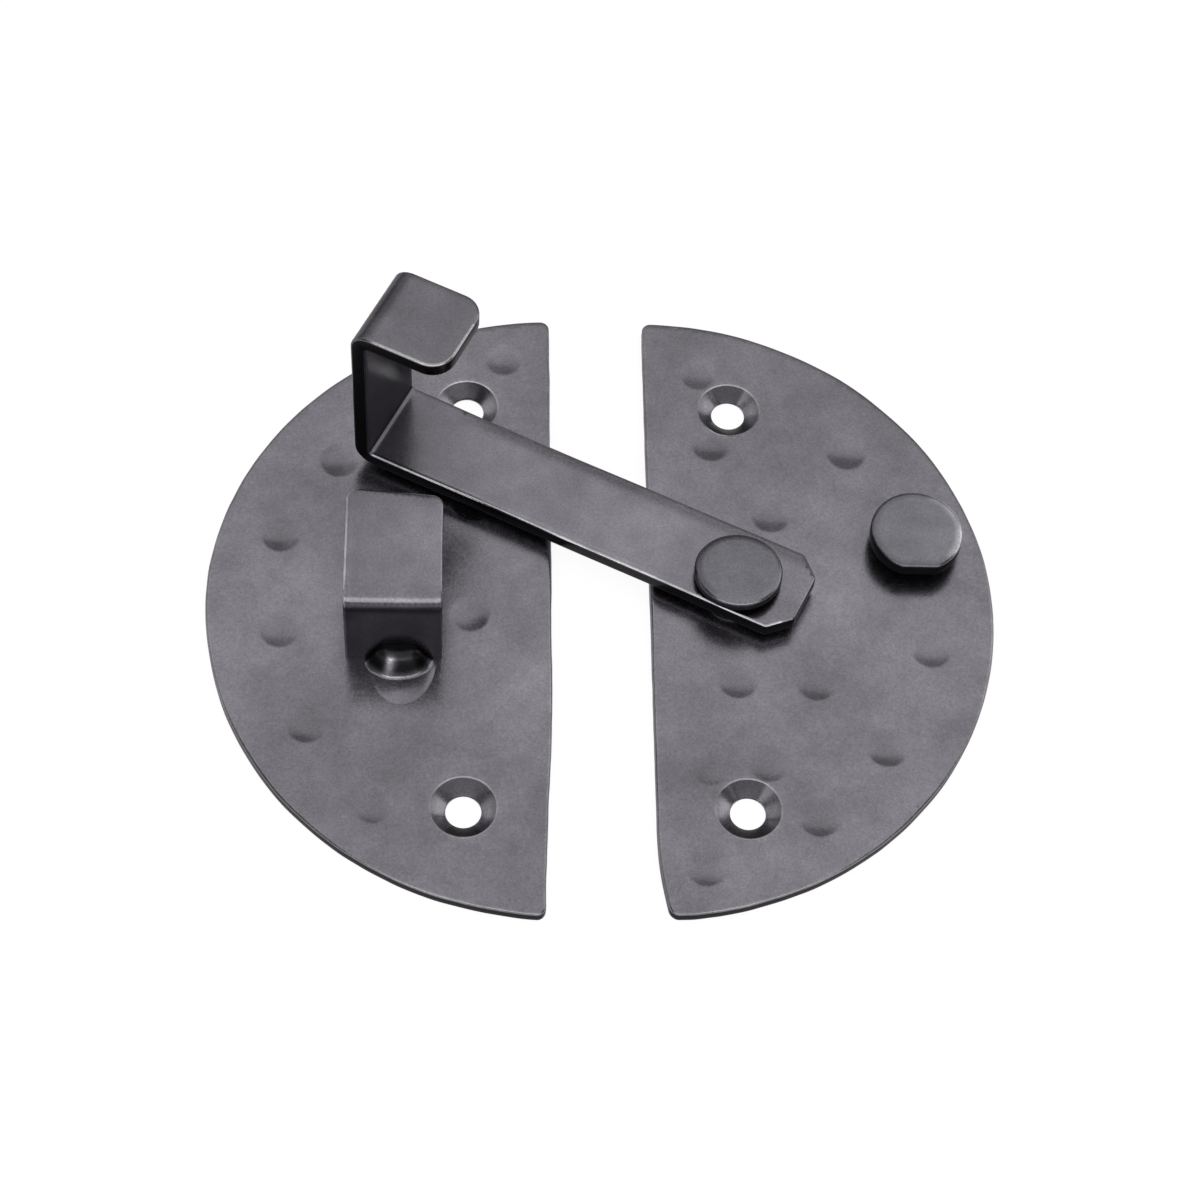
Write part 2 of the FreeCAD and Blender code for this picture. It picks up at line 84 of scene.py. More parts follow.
PLATE_CORNER = 1.2
PLATE_ARRIS = 0.42
PLATE_BACK_ARRIS = 0.2
SCREW_SPACING = 53.8
SCREW_INSET = 10.3
SCREW_BORE = 1.98
SCREW_MOUTH = 3.7
SCREW_SLOPE = math.radians(36)

# Sizes of the bars. The arm is as wide behind and in front of its pivot as given at either end.

STRIP = 2.0
BEND_INSIDE = 0.45
BEND_MIDDLE = BEND_INSIDE + STRIP / 2
BAR_BACK_ARRIS = 0.3
PAST_END = 2.0
CATCH_CORNER = 1.4
CATCH_ARRIS = 0.30
CATCH_SKEW = 0.45
FOOT_LET_IN = 0.4
FOOT_CORNER = 0.6
ARM_ANGLE = math.radians(153.2)
ARM_LENGTH = 45.3
ARM_TAIL = 8.1
ARM_BACK_AT_TAIL = 6.6
ARM_BACK_AT_HANDLE = 6.4
ARM_FRONT_AT_TAIL = 4.6
ARM_FRONT_AT_HANDLE = 4.5
ARM_ARRIS = 0.28
TAIL_CLIP = 2.5
TAIL_CORNER = 0.6
TAIL_SHOULDER = 0.8
HANDLE_REACH = 9.75
HANDLE_CORNER = 2.8
HANDLE_FRONT_CORNER = 2.9
CREASE = ARM_TAIL + ARM_LENGTH

# Sizes of the rivets

SHANK = 2.5
KNOB_STEM = 2.4
PEEN = 0.9
PEEN_RECESS = 0.06
RIVET_FIT = 0.02
ARM_BORE = 2.55
HEAD_GAP = 1.6
HEAD_THICKNESS = 1.5
HEAD_TILT = math.tan(math.radians(4.5))
HEAD_LIFT = 0.2
KNOB_THICKNESS = 2.0
KNOB_FLAT = 0.4

# Sizes of the weld: a round bead on a low pool, as shares of the CAD weld or in millimetres

BEAD_HALF = 3.5
BEAD_REACH = 2.5
BEAD_MIDDLE = -0.3
POOL_HEIGHT = 0.30
POOL_LIP = 0.05
WELD_SHARE = 0.98
WELD_RISE_SHARE = 0.97
WELD_SKIRT = 0.4
WELD_BEHIND = 0.35
WELD_GLINT = -1.3 - 1.9j

# Spacing of the points of a mesh: along cut edges, over the front and over the back

PLATE_PITCHES = (0.5, 0.6, 2.0)
BAR_PITCHES = (0.35, 0.38, 0.6)
WELD_PITCHES = (0.2, 0.16, 0.8)

# Spacing at screw holes, dents and rivet holes, and the share of it kept free along an edge

SCREW_PITCH = 0.15
SCREW_FACE_PITCH = 0.3
DENT_FACE_PITCH = 0.24
RIVET_HOLE_PITCH = 0.4
CLEAR_OF_EDGE = 0.6

# Hammer marks on each plate: bearing from the middle of its straight edge in degrees, distance
# as a share of the plate's radius, and how hard the blow was.

KEEPER_DENTS = [
    (-80, 0.86, 0.6), (-53, 0.40, 0.8), (-37, 0.79, 1.0), (-15, 0.82, 1.0), (8, 0.79, 1.0),
    (13, 0.25, 0.7), (31, 0.81, 1.0), (53, 0.84, 0.8), (66, 0.52, 0.5), (74, 0.87, 0.6),
]
LATCH_DENTS = [
    (78, 0.82, 0.6), (70, 0.58, 0.8), (41, 0.80, 1.0), (39, 0.47, 0.9), (-11, 0.82, 1.0),
    (-30, 0.54, 0.9), (-36, 0.81, 1.15), (-47, 0.36, 1.0), (-57, 0.83, 1.15),
    (-59, 0.62, 0.9), (-74, 0.57, 0.7), (-81, 0.86, 1.1),
]
DENT_RADIUS = 2.4
DENT_REACH = 2
DENT_DEPTH = 0.35
DENT_SOFTNESS = 0.13
DENT_PATINA = 0.13

# Waves of the hammered sheet: depth, length, and a shift in the noise

SHEET_WAVES = [(0.10, 15, 0), (0.05, 6, 5)]
KEEPER_SEED = 3.0
LATCH_SEED = 8.0


# Curves

def unit(angle):
    """Step of length 1 in a direction."""
    return cmath.exp(1j * angle)


def smooth(share):
    """Ease from 0 to 1."""
    share = min(1.0, max(0.0, share))
    return share * share * (3 - 2 * share)


def bump(distance, width):
    """Bell curve that is 1 at no distance."""
    return math.exp(-(distance / width) ** 2)


def eased_max(first, second, softness):
    """The larger of two values, eased where they are nearly the same."""
    return 0.5 * (first + second + math.sqrt((first - second) ** 2 + softness ** 2))


def ripple(across, along, seed):
    """Noise between 0 and 1."""
    return 0.5 + 0.5 * noise.noise(Vector((across, along, seed)))


# Flat outlines

def rounded(corners, closed, pitch, arc_steps):
    """Points and right-hand normals along corners given as (point, radius).

    An open line starts and ends on its first and last arc, and runs straight between arcs."""
    turns = []
    last = len(corners)
    for index, (point, radius) in enumerate(corners):
        if not closed and index in (0, last - 1):
            continue
        way_in = point - corners[index - 1][0]
        way_out = corners[(index + 1) % last][0] - point
        way_in /= abs(way_in)
        angle = cmath.phase(way_out / way_in)
        start = point - way_in * radius * math.tan(abs(angle) / 2)
        centre = start + 1j * math.copysign(radius, angle) * way_in
        turn = []
        for step in range(arc_steps + 1):
            swing = unit(angle * step / arc_steps)
            turn.append((centre + (start - centre) * swing, -1j * way_in * swing))
        turns.append(turn)
    line = []
    for turn, following in zip(turns, turns[1:] + turns[:1]):
        line += turn
        if closed or following is not turns[0]:
            line += straight(turn[-1][0], following[0][0], pitch)
    return line


def straight(start, end, pitch):
    """Points between two others, both left out, with their right-hand normals."""
    count = max(1, round(abs(end - start) / pitch))
    normal = -1j * (end - start) / abs(end - start)
    return [(start + (end - start) * step / count, normal) for step in range(1, count)]


def arc(centre, radius, begin, end, pitch):
    """Points and outward normals along an arc that runs counter-clockwise."""
    count = max(6, round((end - begin) * radius / pitch))
    angles = [begin + (end - begin) * step / count for step in range(count + 1)]
    return [(centre + radius * unit(angle), unit(angle)) for angle in angles]


def half_round(radius, corner, pitch):
    """Half disc with its straight edge on the Y axis and its round side towards +X."""
    tilt = math.asin(corner / (radius - corner))
    reach = (radius - corner) * math.cos(tilt)
    lower = arc(corner - 1j * reach, corner, math.pi, 1.5 * math.pi + tilt, pitch)
    rim = arc(0, radius, -math.pi / 2 + tilt, math.pi / 2 - tilt, pitch)
    upper = arc(corner + 1j * reach, corner, math.pi / 2 - tilt, math.pi, pitch)
    return lower + rim[1:-1] + upper + straight(1j * reach, -1j * reach, pitch)


def bore(centre, radius, pitch):
    """Round hole, run clockwise so that the metal stays on its left."""
    count = round(2 * math.pi * radius / pitch)
    spokes = [unit(-2 * math.pi * step / count) for step in range(count)]
    return [(centre + radius * spoke, -spoke) for spoke in spokes]


def hand_cut(outline, waves, seed):
    """The outline with small inward waves, each (depth, length)."""
    cut = []
    for point, normal in outline:
        set_back = 0.0
        for depth, length in waves:
            set_back += depth * ripple(point.real / length, point.imag / length, seed)
        cut.append((point - normal * set_back, normal))
    return cut


# Cross-sections of cut edges, from the front face to the back

def edge_rows(start, corners, end, steps):
    """Rows (inset, depth, wear and painted light) down an edge, from its start to its end (inset,
    depth).

    Each corner is (inset, depth, rounding, brightening, after): how bright its middle is rubbed
    and the tone of the face that follows it, where below nought is dark."""
    line = rounded([(complex(*start), 0)]
                   + [(complex(inset, depth), radius) for inset, depth, radius, *_ in corners]
                   + [(complex(*end), 0)], False, 1.0, steps)
    points = iter(line)
    rows = []
    before = 0.0
    for index, (*_, brightening, after) in enumerate(corners):
        for step in range(steps + 1):
            point = next(points)[0]
            share = step / steps
            wear_and_painted_light = before + (after - before) * share + brightening * math.sin(math.pi * share)
            rows.append((point.real, point.imag, wear_and_painted_light))
        before = after
    return rows


# Brightness of a rubbed arris and darkness of a cut side

RUBBED = 1.7
CUT = -1


def filed_edge(thickness, front, back, steps=5, rubbed_back=0.0):
    """Square cut with its front and back corners rounded."""
    return edge_rows((thickness, 0),
                     [(0, 0, front, RUBBED, CUT), (0, thickness, back, rubbed_back, 0)],
                     (thickness, thickness), steps)


def countersunk_edge():
    """Screw hole: worn lip, cone, and a short straight bore."""
    wide = SCREW_MOUTH - SCREW_BORE
    sink = wide * math.tan(SCREW_SLOPE)
    return edge_rows((2 * wide, 0),
                     [(wide, 0, 0.5, 1.6, 0), (0, sink, 0.25, 0, CUT),
                      (0, PLATE_THICKNESS, 0.12, 0, CUT)],
                     (wide, PLATE_THICKNESS), 6)


def riveted_edge():
    """Hole with a countersink at the back, which the peened end of a rivet fills."""
    throat = PLATE_THICKNESS - PEEN
    return edge_rows((1, 0),
                     [(0, 0, 0.08, 0, CUT), (0, throat, 0.08, 0, CUT),
                      (PEEN, PLATE_THICKNESS, 0.04, 0, 0)],
                     (2 * PEEN, PLATE_THICKNESS), 2)


# Solid sheets. Rubbing reaches past the arris onto the face by this strength and width.

RUB_INSIDE = 0.3
RUB_WIDTH = 0.3


class Sheet:
    """A flat piece of metal with thickness: points x + yi with a depth below the front,
    the wear and painted light of each one, and for every edge its rows of points."""

    def __init__(self):
        self.points = []
        self.depths = []
        self.wear_and_painted_light = []
        self.faces = []
        self.rims = []

    def add(self, point, depth, wear_and_painted_light):
        self.points.append(point)
        self.depths.append(depth)
        self.wear_and_painted_light.append(wear_and_painted_light)
        return len(self.points) - 1

    def scale_bright(self, weight):
        """Scale the bright places, rubbed arrises and painted highlights, by a function of where
        they are on the sheet.
        """
        self.wear_and_painted_light = [wear_and_painted_light * weight(point) if wear_and_painted_light > 0 else wear_and_painted_light
                     for point, wear_and_painted_light in zip(self.points, self.wear_and_painted_light)]


def metal_margin(loops, row):
    """Function that gives how far a flat point is inside the metal at one row of the edges."""
    tree = kdtree.KDTree(sum(len(outline) for outline, rows in loops))
    normals = []
    rims = []
    for outline, rows in loops:
        for point, normal in outline:
            rim = point - normal * rows[row][0]
            tree.insert((rim.real, rim.imag, 0), len(rims))
            rims.append(rim)
            normals.append(normal)
    tree.balance()

    def margin(point):
        index = tree.find((point.real, point.imag, 0))[1]
        away = point - rims[index]
        return -(away * normals[index].conjugate()).real

    return margin


def grid(low, high, pitch):
    """Triangular grid of flat points over a rectangle."""
    rise = pitch * math.sqrt(3) / 2
    for row in range(int((high.imag - low.imag) / rise) + 2):
        shift = pitch / 2 * (row % 2)
        for column in range(int((high.real - low.real) / pitch) + 2):
            yield complex(low.real + shift + column * pitch, low.imag + row * rise)


def fill(sheet, loops, row, pitch, fine, facing):
    """Cover the front or the back with triangles between one row of every edge.

    Places with closer points are given as (centre, radius, pitch)."""
    margin = metal_margin(loops, row)
    indices = []
    borders = []
    depth = loops[0][1][row][1]
    for rim in sheet.rims:
        first = len(indices)
        indices += rim[row]
        borders += [(first + k, first + (k + 1) % len(rim[row])) for k in range(len(rim[row]))]
    whole = [sheet.points[index] for index in sheet.rims[0][row]]
    low = complex(min(p.real for p in whole), min(p.imag for p in whole))
    high = complex(max(p.real for p in whole), max(p.imag for p in whole))
    patches = [(low, high, pitch, None)]
    for centre, radius, fine_pitch in fine:
        corner = complex(radius, radius)
        patches.append((centre - corner, centre + corner, fine_pitch, centre))
    for start, end, step, centre in patches:
        for point in grid(start, end, step):
            if centre is None:
                crowded = any(abs(point - spot) < size for spot, size, _ in fine)
            else:
                crowded = abs(point - centre) > 0.97 * (end - start).real / 2
                crowded = crowded or owned_by_other(point, centre, fine)
            if crowded:
                continue
            inside = margin(point)
            if inside > CLEAR_OF_EDGE * step:
                brightening = RUB_INSIDE * bump(inside, RUB_WIDTH)
                indices.append(sheet.add(point, depth, brightening))
    flat = [Vector((sheet.points[i].real, sheet.points[i].imag)) for i in indices]
    result = delaunay_2d_cdt(flat, borders, [], 0, 1e-6, True)
    corners, triangles, origins = result[0], result[2], result[3]
    for triangle in triangles:
        middle = sum((corners[k] for k in triangle), Vector((0, 0))) / 3
        if margin(complex(middle.x, middle.y)) < 0:
            continue
        face = [indices[origins[k][0]] for k in triangle]
        a, b, c = (sheet.points[k] for k in face)
        if ((b - a).conjugate() * (c - a)).imag * facing < 0:
            face.reverse()
        sheet.faces.append(face)


def owned_by_other(point, centre, fine):
    """Whether a nearer fine patch already fills this place."""
    here = abs(point - centre)
    return any(abs(point - spot) < here and abs(point - spot) < size
               for spot, size, _ in fine if spot != centre)


def cut_sheet(loops, pitches, fine=()):
    """Sheet with edges: loops are (outline, rows), the outside first and then the holes."""
    pitch, back_pitch = pitches[1:]
    sheet = Sheet()
    for outline, rows in loops:
        rim = [[sheet.add(point - normal * inset, depth, wear_and_painted_light) for point, normal in outline]
               for inset, depth, wear_and_painted_light in rows]
        sheet.rims.append(rim)
        for upper, lower in zip(rim, rim[1:]):
            for k in range(len(upper)):
                after = (k + 1) % len(upper)
                sheet.faces.append([upper[k], lower[k], lower[after], upper[after]])
    fill(sheet, loops, 0, pitch, fine, 1)
    fill(sheet, loops, -1, back_pitch, (), -1)
    return sheet


# Pieces

def make_piece(name, points, faces, node, body, material, wear_and_painted_light, tone_and_painted_light=None, flat=None):
    """Mesh object, in metres, that stands for one CAD node."""
    mesh = bpy.data.meshes.new(name)
    mesh.from_pydata([Vector(point) * MM for point in points], [], faces)
    mesh.validate()
    mesh.polygons.foreach_set("use_smooth", [True] * len(mesh.polygons))
    mesh.attributes.new("wear_and_painted_light", "FLOAT", "POINT").data.foreach_set("value", wear_and_painted_light)
    if tone_and_painted_light:
        mesh.attributes.new("tone_and_painted_light", "FLOAT", "POINT").data.foreach_set("value", tone_and_painted_light)
    if flat:
        layout = mesh.attributes.new("flat", "FLOAT_VECTOR", "POINT")
        layout.data.foreach_set("vector", [value for place in flat for value in place])
    mesh.materials.append(material)
    mesh.update()
    piece = bpy.data.objects.new(name, mesh)
    bpy.context.scene.collection.objects.link(piece)
    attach(piece, body)
    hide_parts(node)


def handling_and_painted_light(points, patches):
    """Lighter and darker places from soft patches given as (place, radius, lightness):
    some left by years of handling, some painted light and painted shade."""
    return [sum(lightness * bump(abs(point - place), radius)
                for place, radius, lightness in patches) for point in points]


def flat_layout(sheet):
    """Places on the unbent sheet, in metres, so that grain follows every bend."""
    return [(point.real * MM, point.imag * MM, depth * MM)
            for point, depth in zip(sheet.points, sheet.depths)]


# Materials

# Colour of rubbed arrises, and of the painted highlights and glints
WORN_AND_LIT_BRIGHT = (0.46, 0.455, 0.47, 1)
CUT_DARK = (0.020, 0.0195, 0.021, 1)


def nodes_of(material):
    """The material's empty node tree."""
    material.use_nodes = True
    tree = material.node_tree
    tree.nodes.clear()
    return tree


def add_node(tree, kind, inputs=None, **settings):
    """Node with its settings, and with values or other nodes' outputs on its sockets."""
    node = tree.nodes.new(kind)
    for name, value in settings.items():
        setattr(node, name, value)
    for name, value in (inputs or {}).items():
        if isinstance(value, bpy.types.NodeSocket):
            tree.links.new(value, node.inputs[name])
        else:
            node.inputs[name].default_value = value
    return node


def noise_at(tree, place, size, detail=3.0, roughness=0.5):
    """Noise with lumps of a real size, in metres."""
    return add_node(tree, "ShaderNodeTexNoise", {"Vector": place, "Scale": 1 / size,
                                                 "Detail": detail, "Roughness": roughness})


def remap(tree, value, low, high):
    """Spread the middle of a noise's range between two values."""
    node = add_node(tree, "ShaderNodeMapRange", {
        "Value": value, "From Min": 0.3, "From Max": 0.7, "To Min": low, "To Max": high})
    return node.outputs["Result"]


def combine(tree, operation, first, second):
    """Result of a Math node on two values or other nodes' outputs."""
    node = add_node(tree, "ShaderNodeMath", {0: first, 1: second}, operation=operation)
    return node.outputs[0]


def times(tree, first, second):
    return combine(tree, "MULTIPLY", first, second)


def plus(tree, first, second):
    return combine(tree, "ADD", first, second)


def blend(tree, factor, first, second):
    """Mix of two colours, each a value or another node's output."""
    node = add_node(tree, "ShaderNodeMix", {"Factor": factor}, data_type="RGBA")
    for socket, colour in ((node.inputs[6], first), (node.inputs[7], second)):
        if isinstance(colour, bpy.types.NodeSocket):
            tree.links.new(colour, socket)
        else:
            socket.default_value = colour
    return node.outputs[2]


def satin_iron(name, colour, roughness, flat=False):
    """Dark pewter finish: cloudy tone, fine grain, rubbed arrises and dark cut sides, with painted
    highlights and painted shade laid into the same colour.

    On bent pieces the grain follows the unbent layout."""
    material = bpy.data.materials.new(name)
    tree = nodes_of(material)
    if flat:
        place = add_node(tree, "ShaderNodeAttribute", attribute_name="flat").outputs["Vector"]
    else:
        place = add_node(tree, "ShaderNodeTexCoord").outputs["Object"]
    wear_and_painted_light = add_node(tree, "ShaderNodeAttribute", attribute_name="wear_and_painted_light").outputs["Fac"]
    tone_and_painted_light = add_node(tree, "ShaderNodeAttribute", attribute_name="tone_and_painted_light").outputs["Fac"]
    cloud = noise_at(tree, place, 13 * MM, 3.0, 0.5).outputs["Fac"]
    blotch = noise_at(tree, place, 3.2 * MM, 3.0, 0.6).outputs["Fac"]
    speck = noise_at(tree, place, 0.42 * MM, 3.0, 0.7).outputs["Fac"]
    pits = noise_at(tree, place, 0.20 * MM, 2.0, 0.6).outputs["Fac"]

    tone = times(tree, remap(tree, cloud, 0.87, 1.13), remap(tree, blotch, 0.91, 1.09))
    tone = times(tree, tone, plus(tree, tone_and_painted_light, 1.0))
    tone = times(tree, tone, remap(tree, speck, 0.88, 1.12))
    tone = times(tree, tone, remap(tree, pits, 0.86, 1.14))
    # Bright share: rubbed arrises and painted highlights. Dark share: cut sides and painted shade.
    brightening = combine(tree, "MAXIMUM", wear_and_painted_light, 0.0)
    brightening = times(tree, brightening, remap(tree, blotch, 0.55, 1.25))
    dark = times(tree, wear_and_painted_light, -1.0)
    base = blend(tree, brightening, (*colour, 1), WORN_AND_LIT_BRIGHT)
    base = blend(tree, dark, base, CUT_DARK)
    shade = add_node(tree, "ShaderNodeVectorMath", {0: base}, operation="SCALE")
    tree.links.new(tone, shade.inputs["Scale"])

    rough = plus(tree, remap(tree, cloud, roughness - 0.03, roughness + 0.03),
                 remap(tree, speck, -0.03, 0.03))
    rough = plus(tree, rough, times(tree, wear_and_painted_light, -0.05))
    height = plus(tree, times(tree, blotch, 0.5), plus(tree, times(tree, speck, 0.35),
                                                       times(tree, pits, 0.15)))
    grain = add_node(tree, "ShaderNodeBump", {"Height": height, "Strength": 0.4,
                                              "Distance": 0.05 * MM})
    shader = add_node(tree, "ShaderNodeBsdfPrincipled", {
        "Base Color": shade.outputs[0], "Metallic": 1.0, "Roughness": rough,
        "Specular Tint": (0.6, 0.6, 0.6, 1), "Normal": grain.outputs[0]})
    add_node(tree, "ShaderNodeOutputMaterial", {"Surface": shader.outputs[0]})
    return material


PLATE_IRON = satin_iron("plate_iron", (0.192, 0.181, 0.204), 0.25)
BAR_IRON = satin_iron("bar_iron", (0.184, 0.174, 0.196), 0.22, flat=True)
RIVET_IRON = satin_iron("rivet_iron", (0.175, 0.171, 0.190), 0.24)
WELD_IRON = satin_iron("weld_iron", (0.192, 0.181, 0.204), 0.24)


# Backplates

def screw_centres():
    """The two screw holes on a plate as it is drawn."""
    return [complex(SCREW_INSET, side * SCREW_SPACING / 2) for side in (1, -1)]


def dent_places(dents):
    """Centre and force of each hammer mark."""
    return [(share * PLATE_RADIUS * unit(math.radians(bearing)), force)
            for bearing, share, force in dents]


def dent_shape(point, places):
    """Depth of the hammer marks under a flat point: bowls that ease into the sheet."""
    depth = 0.0
    for centre, force in places:
        radius = DENT_RADIUS * (0.75 + 0.25 * force)
        reach = abs(point - centre) / radius
        if reach < DENT_REACH:
            bowl = eased_max(1 - reach * reach, 0, DENT_SOFTNESS)
            rest = eased_max(1 - DENT_REACH * DENT_REACH, 0, DENT_SOFTNESS)
            depth += DENT_DEPTH * force * (bowl - rest)
    return depth


def waviness(point, seed):
    """Slow unevenness of hand-hammered sheet, never above the nominal face."""
    return -sum(depth * ripple(point.real / length, point.imag / length, seed + shift)
                for depth, length, shift in SHEET_WAVES)


def keeper_lean(up):
    """The keeper's straight edge draws back a little towards its lower corner."""
    return 0.25 + 0.9 * smooth((up - 12) / 26)


def latch_lean(up):
    """The latch plate's lower corner is dressed back in a long curve."""
    return max(0.0, (-up - 29) / 10) ** 2


def plate_rub(point):
    """How much rubbing shows: little at the rim, more above and below a screw hole."""
    lips = [abs((point - centre).imag) / SCREW_MOUTH - 0.35 for centre in screw_centres()
            if abs(point - centre) < SCREW_MOUTH + 0.4]
    return max([0.12] + lips)


def shade_countersink(sheet, centre):
    """Painted shade on the upper and lower sides of a countersink, and a painted highlight on its
    flanks.
    """
    for index, point in enumerate(sheet.points):
        spoke = point - centre
        if SCREW_BORE < abs(spoke) < SCREW_MOUTH - 0.05:
            rise = spoke.imag / abs(spoke)
            upper = 0.65 * smooth((rise - 0.78) / 0.08)
            lower = 0.55 * smooth((-rise - 0.45) / 0.3)
            flank = 0.30 * smooth((0.85 - abs(rise)) / 0.3)
            tone = flank - upper - lower
            on_cone = abs(spoke) < SCREW_MOUTH - 0.15
            sheet.wear_and_painted_light[index] = tone if on_cone else min(sheet.wear_and_painted_light[index], tone)


def backplate(name, node, dents, patches, lean, seed, edge_x, side, rivets=()):
    """Half-round plate, drawn with its round side towards +X and turned for the keeper."""
    outline = hand_cut(half_round(PLATE_RADIUS, PLATE_CORNER, PLATE_PITCHES[0]),
                       [(0.22, 9.0), (0.07, 2.5)], seed)
    outline = [(point + lean(point.imag) * smooth(1 - point.real / 6), normal)
               for point, normal in outline]
    loops = [(outline, filed_edge(PLATE_THICKNESS, PLATE_ARRIS, PLATE_BACK_ARRIS))]
    fine = []
    for centre in screw_centres():
        loops.append((bore(centre, SCREW_BORE, SCREW_PITCH), countersunk_edge()))
        fine.append((centre, SCREW_MOUTH + 1.6, SCREW_FACE_PITCH))
    for centre, radius in rivets:
        loops.append((bore(centre, radius, RIVET_HOLE_PITCH), riveted_edge()))
    places = dent_places(dents)
    fine += [(centre, 1.45 * DENT_RADIUS, DENT_FACE_PITCH) for centre, force in places]
    sheet = cut_sheet(loops, PLATE_PITCHES, fine)
    sheet.scale_bright(plate_rub)
    for centre in screw_centres():
        shade_countersink(sheet, centre)
    ground = [edge_x + side * point for point in sheet.points]
    points = []
    tone_and_painted_light = []
    for flat, place, depth, tone in zip(sheet.points, ground, sheet.depths,
                                        handling_and_painted_light(ground, patches)):
        share = 1 - depth / PLATE_THICKNESS
        wave = waviness(flat, seed)
        relief = (wave - dent_shape(flat, places)) * share
        points.append((place.real, place.imag, PLATE_THICKNESS - depth + relief))
        tone_and_painted_light.append(tone + DENT_PATINA / DENT_DEPTH * (relief - wave))
    make_piece(name, points, sheet.faces, node, "plates", PLATE_IRON,
               sheet.wear_and_painted_light, tone_and_painted_light)


# Where handling has polished or dulled the plates, and where light is painted: place, radius,
# lightness

KEEPER_PATCHES = [
    (-9 - 12j, 7, 0.22), (-36 + 3j, 6, 0.10), (-40 - 8j, 5, 0.08), (-30 - 22j, 9, -0.12),
    (-20 - 19j, 7, -0.10), (-33 + 18j, 7, -0.06), (-14 + 31j, 6, 0.05),
    # painted light round the weld and beside the catch, over the dark they reflect
    (-26.8 - 12.8j, 2.6, 0.36), (-20.2 - 12.4j, 2.6, 0.36), (-23.6 - 14.8j, 2.8, 0.20),
    (-16.2 - 7.5j, 2.2, 0.18),
]
LATCH_PATCHES = [
    (27 + 1j, 7, 0.24), (22 + 14j, 6, 0.12), (9 + 18j, 5, 0.08), (37 - 9j, 6, 0.08),
    (25 - 11j, 5, -0.12), (10 - 22j, 6, -0.10), (22 + 22j, 6, -0.12), (30 - 21j, 6, 0.06),
]

backplate("keeper_sheet", "keeper_plate", KEEPER_DENTS, KEEPER_PATCHES, keeper_lean, KEEPER_SEED,
          KEEPER_HIGH.x, -1)
backplate("latch_sheet", "latch_plate", LATCH_DENTS, LATCH_PATCHES, latch_lean, LATCH_SEED,
          LATCH_LOW.x, 1,
          [(PIVOT_CENTRE - LATCH_LOW.x, SHANK + RIVET_FIT),
           (KNOB_CENTRE - LATCH_LOW.x, KNOB_STEM + RIVET_FIT)])


# Bent bars

def bent_path(start, heading, steps):
    """Middle line of a bar as stretches, from steps of (length, turn to the left)."""
    stretches = []
    along = 0.0
    for length, turn in steps:
        stretches.append((along, start, heading, length, turn))
        start, heading = on_stretch(stretches[-1], length)
        along += length
    return stretches


def on_stretch(stretch, travel):
    """Place and heading a distance into one stretch."""
    start, heading, length, turn = stretch[1:]
    if turn == 0:
        return start + travel * unit(heading), heading
    bend = turn / length
    return start + unit(heading) * (unit(bend * travel) - 1) / (1j * bend), heading + bend * travel


def on_path(stretches, along, depth):
    """Place in the plane of the bends, at a depth below the bar's front face."""
    for stretch in reversed(stretches):
        if along >= stretch[0]:
            break
    middle, heading = on_stretch(stretch, along - stretch[0])
    return middle + 1j * unit(heading) * (STRIP / 2 - depth)


def planished(point, seed):
    """Slight unevenness of a flattened bar."""
    return -0.035 * ripple(point.real / 7, point.imag / 5, seed)


def keeper_catch():
    """Short bar bent square: flat layout runs up the wall, round the bend and to the free edge.

    Its foot is let a little way into the plate, so that no seam shows."""
    wall = CATCH_HIGH.z - CATCH_LOW.z - STRIP - BEND_INSIDE
    bend = BEND_MIDDLE * math.pi / 2
    top = CATCH_HIGH.y - CATCH_SKEW - (CATCH_LOW.y + STRIP + BEND_INSIDE)
    path = bent_path(complex(CATCH_LOW.y + STRIP / 2, CATCH_LOW.z), math.pi / 2,
                     [(wall, 0), (bend, -math.pi / 2), (top + PAST_END, 0)])
    end = wall + bend + top
    half = (CATCH_HIGH.x - CATCH_LOW.x) / 2
    middle = (CATCH_HIGH.x + CATCH_LOW.x) / 2
    edge_pitch = BAR_PITCHES[0]
    outline = rounded([(complex(-FOOT_LET_IN, -half), FOOT_CORNER),
                       (complex(end - CATCH_SKEW, -half), CATCH_CORNER),
                       (complex(end + CATCH_SKEW, half), CATCH_CORNER),
                       (complex(-FOOT_LET_IN, half), FOOT_CORNER)], True, edge_pitch, 7)
    outline = hand_cut(outline, [(0.10, 7.0)], 5.0)
    sheet = cut_sheet([(outline, filed_edge(STRIP, CATCH_ARRIS, BAR_BACK_ARRIS))], BAR_PITCHES)

    def wear_and_highlight(point):
        """The left arris carries a painted highlight, with a painted glint high on the wall;
        elsewhere rubbing is faint.
        """
        left = point.imag >= 0.8 * half
        return 1.2 + 2 * bump(point.real - 0.7 * wall, 0.8) if left else 0.15

    def painted_shade(point):
        """Painted shade on the wall, darkest just under the bend."""
        under_bend = smooth((wall + 0.9 - point.real) / 0.25) * smooth(point.real - wall + 0.6)
        return 0.36 * smooth((wall + 1.0 - point.real) / 0.6) + 0.36 * under_bend

    sheet.scale_bright(wear_and_highlight)
    points = []
    for point, depth in zip(sheet.points, sheet.depths):
        share = 1 - depth / STRIP
        relief = planished(point, 2.0) - 0.10 * (point.imag / half) ** 4
        place = on_path(path, point.real, depth - relief * share)
        points.append((middle - point.imag, place.real, place.imag))
    patches = [(complex(end, half), 7, -0.22), (complex(end - 5, -half), 5, 0.08)]
    tones = handling_and_painted_light(sheet.points, patches)
    tone_and_painted_light = [tone - painted_shade(point) for tone, point in zip(tones, sheet.points)]
    make_piece("catch_bar", points, sheet.faces, "keeper_catch", "plates",
               BAR_IRON, sheet.wear_and_painted_light, tone_and_painted_light, flat_layout(sheet))


